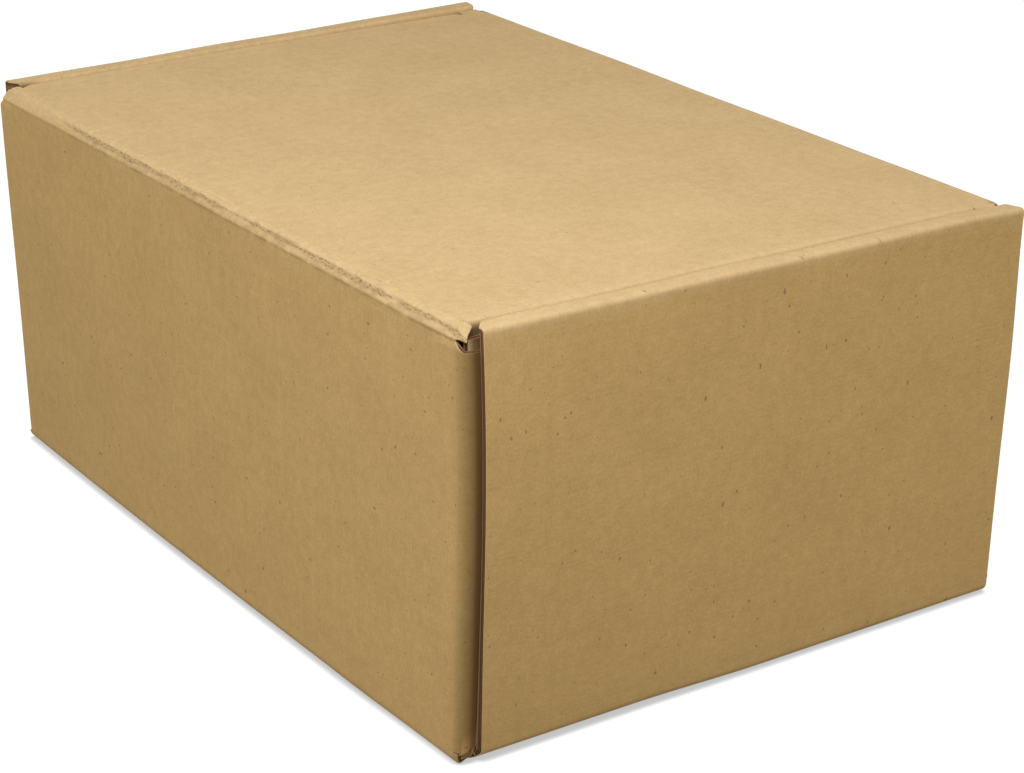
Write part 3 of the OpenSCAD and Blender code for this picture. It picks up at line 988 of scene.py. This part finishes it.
def lid_crush(flat):
    """The lid is crushed along its ear folds and its front fold."""
    x = np.abs(without_mark(flat))
    at_ear = bell(x, (ear_knots[1] + ear_knots[2]) / 2, 1.2)
    at_front = bell(flat[:, 1] - front_fold, tuck_knots[1] / 2, 1.2)
    return np.clip(0.5 * at_ear + 0.5 * at_front, 0, 1)


def lid_painted_shade(a, b):
    """Share of dark brown, painted shade on the back ends of the ears just below their folds, for
    the dark hollow beside the roll."""
    x = np.abs(a)
    below = smooth(x, EAR_X + 0.6, EAR_X + 1.8) * smooth(-x, -EAR_X - 12, -EAR_X - 5)
    return 0.75 * below * smooth(-b, -lid_b(56), -lid_b(68)) * (b > lid_b(EAR_BACK_Y) - EAR_CUT / 2)


lid_sheet = Sheet(lid_a, lid_bs, lid_keep, lid_shape, fold_lid)
lid_arrays = dressed_board(lid_sheet, seam_at(LID_B0, LID_CORNER), lid_ripple)
# the last share is painted shade on the ears' back ends
lid = make_piece("lid_sheet", lid_arrays, lid_crush, lid_kraft, lambda a, b: 0 * a + 1,
                 lambda a, b: 0 * a + 1, lid_painted_shade)

# %% [markdown]
# ## The hinge crease
# Between the back wall and the lid the board is crushed by a blunt rule and then folded. The
# crease is the only place that really moves, so it is a piece of its own, between the tray and the
# lid. A sharper edge, a groove, wrinkles and small dents are added to its outer liner, and they fade
# out at both seams.

# %% Cut, fold and wrinkle the crease
crease_a = both_sides(np.concatenate([divide(0, END_ZONE, 0.45), divide(END_ZONE, BEND_X, 0.4),
                                      divide(BEND_X, CREASE_END, 0.3)]))
crease_b = np.concatenate([divide(dust_b1, hinge_start, 0.25), divide(hinge_start, band_start, 0.13),
                           divide(band_start, hinge_stop, 0.17), divide(hinge_stop, LID_B0, 0.2)])


def crease_shape(a, b):
    """The ends are cut at a slant: from past the upright bend up to the sharp edge, then out
    again to a small corner beside the roll, and back to the lid's side."""
    limit = np.interp(b, [dust_b1, hinge_start + 0.3, band_stop, hinge_stop - 0.3, LID_B0],
                      [CREASE_END, HINGE_HALF, HINGE_HALF + 2.0, HINGE_HALF + 0.8, LID_CORNER])
    return np.sign(a) * stretch_end(np.abs(a), limit), b


def fold_crease(a, b):
    """Folds like the wall, and bends the small corners down in a parabola. The normal leans
    out by the parabola's slope."""
    middle, normal = fold_walls(a, b)
    out, share = np.maximum(np.abs(a) - 105.5, 0), smooth(b, hinge_start, band_stop)
    side = side_of(a)
    middle[..., 2] -= 0.07 * out**2 * share
    normal[..., 0] += side * 0.14 * out * share * normal[..., 2]
    return middle, unit(normal)


def smooth_noise(a, b, size_a, size_b, seed):
    """Random values on a coarse grid, blended smoothly in between, from -1 to 1."""
    rows, columns = 512, 64
    table = np.random.default_rng(seed).uniform(-1, 1, (rows, columns))
    u, v = np.abs(a / size_a + 200), np.abs(b / size_b)
    i, j = np.floor(u).astype(int), np.floor(v).astype(int)
    s, t = u - i, v - j
    s, t = s * s * (3 - 2 * s), t * t * (3 - 2 * t)

    def at(k, m):
        return table[(i + k) % rows, (j + m) % columns]

    value = at(0, 0) * (1 - s) * (1 - t) + at(1, 0) * s * (1 - t)
    return value + at(0, 1) * (1 - s) * t + at(1, 1) * s * t


def crease_ripple(a, b):
    """A crisp edge, a shallow groove along the inner side of the crushed band, wrinkles over
    all of it, zero at both seams, and a dent where the edge meets each end."""
    share = (b - dust_b1) / (LID_B0 - dust_b1)
    fade = np.clip(share / 0.15, 0, 1) * np.clip((1 - share) / 0.10, 0, 1)
    fade = fade * np.clip((HINGE_HALF - np.abs(a)) / 1.5, 0.15, 1)
    edge = 0.5 * crisp(back_line(b)[2] - np.pi / 2, edge_turn, edge_radius + HALF)
    edge = edge * ((b > hinge_start) & (b < band_start))
    groove = -bell(b - band_stop, 0.2, 0.32)
    wrinkles = 0.6 * smooth_noise(a, b, 1.5, 0.8, 11) + 0.4 * smooth_noise(a, b, 0.8, 0.5, 12)
    wrinkles = wrinkles * np.clip((b - hinge_start) / 0.5, 0.1, 1)
    broad = smooth_noise(a, b, 9.0, 3.0, 13)
    end_dent = -0.3 * smooth(np.abs(a), 99, 105) * bell(b, band_start, 1.5)
    wear = 1 - 0.8 * smooth(a, 50, 100)
    relief = 0.5 * groove * (1 + 0.8 * broad) + 0.33 * wrinkles + 0.05 * broad
    return edge + end_dent + fade * wear * relief


def crease_crush(flat):
    """Crushed on the band beyond its sharp edge and most in the groove, with a patchy strength
    along its length; the wall's side of the edge is whole."""
    b = flat[:, 1]
    patch = 0.7 + 0.3 * smooth_noise(flat[:, 0], b, 6.0, 3.0, 14)
    on_band = np.clip((b - hinge_start - 0.5) / 0.5, 0, 1)
    on_band = on_band * np.clip((band_stop + 0.9 - b) / 0.6, 0, 1)
    groove = bell(b - band_stop, 0.2, 0.5)
    wear = 1 - 0.8 * smooth(flat[:, 0], 50, 100)
    return np.clip(wear * patch * (0.9 * on_band + 0.4 * groove), 0, 1)


def crease_painted_shade(a, b):
    """Painted shade like the wall below it at the near upright, and in patches on the crushed band."""
    near = tray_painted_shade(a, b) * smooth(-b, -hinge_start, -dust_b1)
    on_band = smooth(b, hinge_start - 0.2, hinge_start + 0.5) * smooth(-b, -band_stop - 0.6, -band_stop)
    patch = 0.6 + 0.3 * smooth_noise(a, b, 2.2, 0.7, 15) + 0.2 * smooth_noise(a, b, 0.9, 0.4, 16)
    return np.clip(near + 0.34 * on_band * patch * (1 - 0.8 * smooth(a, 50, 100)), 0, 1)


def crease_squash(a, b):
    """The ends of the crease are pressed nearly flat."""
    return 0.75 * smooth(np.abs(a), 101, 107) * smooth(b, dust_b1 - 0.5, hinge_start + 0.5)


def crease_seam(spot):
    """The crease goes on as the back wall, and as the lid up to the ears' folds."""
    return seam_at(dust_b1)(spot) | seam_at(LID_B0, EAR_X)(spot)


crease_sheet = Sheet(crease_a, crease_b, lambda a, b: a * 0 == 0, crease_shape, fold_crease)
crease_arrays = dressed_board(crease_sheet, crease_seam, crease_ripple, crease_squash)
# the crease takes the lid's colour from its sharp edge on and keeps the tray's painted shade colour
# below it; the last share is painted shade
crease = make_piece("hinge_crease", crease_arrays, crease_crush, crease_kraft,
                    lambda a, b: smooth(b, hinge_start, LID_B0),
                    lambda a, b: smooth(b, hinge_start - 0.3, band_start + 0.4),
                    crease_painted_shade)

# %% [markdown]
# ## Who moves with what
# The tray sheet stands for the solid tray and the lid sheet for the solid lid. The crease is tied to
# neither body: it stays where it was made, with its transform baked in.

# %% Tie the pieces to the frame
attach(tray, "tray")
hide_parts("tray")
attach(lid, "lid")
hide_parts("lid")
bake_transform(crease)

# %% [markdown]
# ## Floor, light and camera
# The box stands on a wide white floor. The camera sees the floor as white, but close to the box an
# ambient occlusion node dims its glow, a painted contact shadow. A large soft lamp hangs above the
# near corner, two weaker ones light the back wall and the near end, and the room itself gives an
# even light from all sides.

# %% Floor
def build_floor():
    """A plain square, white to the camera except in the narrow shadow where the box stands."""
    mesh = bpy.data.meshes.new("floor")
    size = 6.0
    mesh.from_pydata([(-size, -size, 0), (size, -size, 0), (size, size, 0), (-size, size, 0)], [],
                     [(0, 1, 2, 3)])
    floor = in_scene("floor", mesh)
    material = bpy.data.materials.new("white_floor")
    w = fresh_nodes(material)
    matt = w.add("ShaderNodeBsdfDiffuse", {"Color": (0.29, 0.276, 0.253, 1)}).outputs[0]
    seen = w.add("ShaderNodeBsdfDiffuse", {"Color": (0.12, 0.12, 0.12, 1)}).outputs[0]
    # painted contact shadow: an ambient occlusion node dims the floor's white glow close to the box
    contact = w.add("ShaderNodeAmbientOcclusion", {"Distance": 0.0026}, samples=16).outputs["AO"]
    shade = w.span(contact, 0.35, 0.95, 0.52, 1.0)
    glow = w.add("ShaderNodeEmission", {"Strength": shade}).outputs[0]
    both = w.add("ShaderNodeAddShader", {0: seen, 1: glow}).outputs[0]
    pick = w.add("ShaderNodeMixShader", {0: w.seen(), 1: matt, 2: both}).outputs[0]
    w.show("ShaderNodeOutputMaterial", pick)
    mesh.materials.append(material)


build_floor()


# %% Room light and lamp
def build_room(strength, tint):
    """An even room light; the camera sees white where the floor ends."""
    world = bpy.data.worlds.new("room")
    bpy.context.scene.world = world
    w = fresh_nodes(world)
    room = w.add("ShaderNodeBackground", {"Color": (*tint, 1), "Strength": strength}).outputs[0]
    white = w.add("ShaderNodeBackground").outputs[0]
    w.show("ShaderNodeOutputWorld",
           w.add("ShaderNodeMixShader", {0: w.seen(), 1: room, 2: white}).outputs[0])


def soft_lamp(name, place, target, size, power, tint):
    """A square lamp that faces its target."""
    light = bpy.data.lights.new(name, "AREA")
    light.size = size
    light.energy = power
    light.color = tint
    lamp = in_scene(name, light)
    lamp.location = place
    lamp.rotation_euler = (Vector(target) - Vector(place)).to_track_quat("-Z", "Y").to_euler()


build_room(0.34, (1.0, 0.94, 0.78))
soft_lamp("overhead_lamp", (-0.22, 0.24, 0.49), (-0.06, 0.03, 0.10), 0.4, 1.96, (0.98, 1.0, 1.07))
soft_lamp("back_lamp", (0.42, 0.66, 0.36), (0.06, 0.08, 0.05), 0.5, 1.05, (1.0, 1.0, 1.0))
soft_lamp("end_lamp", (-0.75, -0.40, 0.40), (-0.11, -0.04, 0.05), 0.5, 1.35, (1.0, 0.97, 0.90))

# %% [markdown]
# The camera stands where the photograph's perspective puts it. Its distance decides how fast
# the far edges shrink, and its long lens then fills the frame. It also leans by less than a degree.

# %% Camera
LENS_PIXELS, FRAME_WIDTH = 2612.1, 1024
CAMERA_PLACE = (-0.52123, 0.36165, 0.29224)
AZIMUTH, ELEVATION, ROLL = np.radians([234.407, 22.136, 0.668])


def build_camera():
    """Axes from three angles: forward looks down at the box, right is level, and both right and
    up are then turned a little about the view line."""
    ca, sa, ce, se = np.cos(AZIMUTH), np.sin(AZIMUTH), np.cos(ELEVATION), np.sin(ELEVATION)
    forward = np.array([-sa * ce, ca * ce, -se])
    level = np.array([ca, sa, 0.0])
    above = np.cross(level, forward)
    right = np.cos(ROLL) * level + np.sin(ROLL) * above
    up = np.cross(right, forward)
    data = bpy.data.cameras.new("camera")
    data.sensor_fit = "HORIZONTAL"
    data.sensor_width = 36.0
    data.lens = LENS_PIXELS * data.sensor_width / FRAME_WIDTH
    data.clip_start, data.clip_end = 0.01, 50.0
    camera = in_scene("camera", data)
    turn = Matrix(np.stack([right, up, -forward], 1).tolist()).to_4x4()
    camera.matrix_world = Matrix.Translation(CAMERA_PLACE) @ turn
    bpy.context.scene.camera = camera
    print("lens", round(data.lens, 2), "mm")


build_camera()
bpy.context.scene.view_settings.view_transform = "Standard"
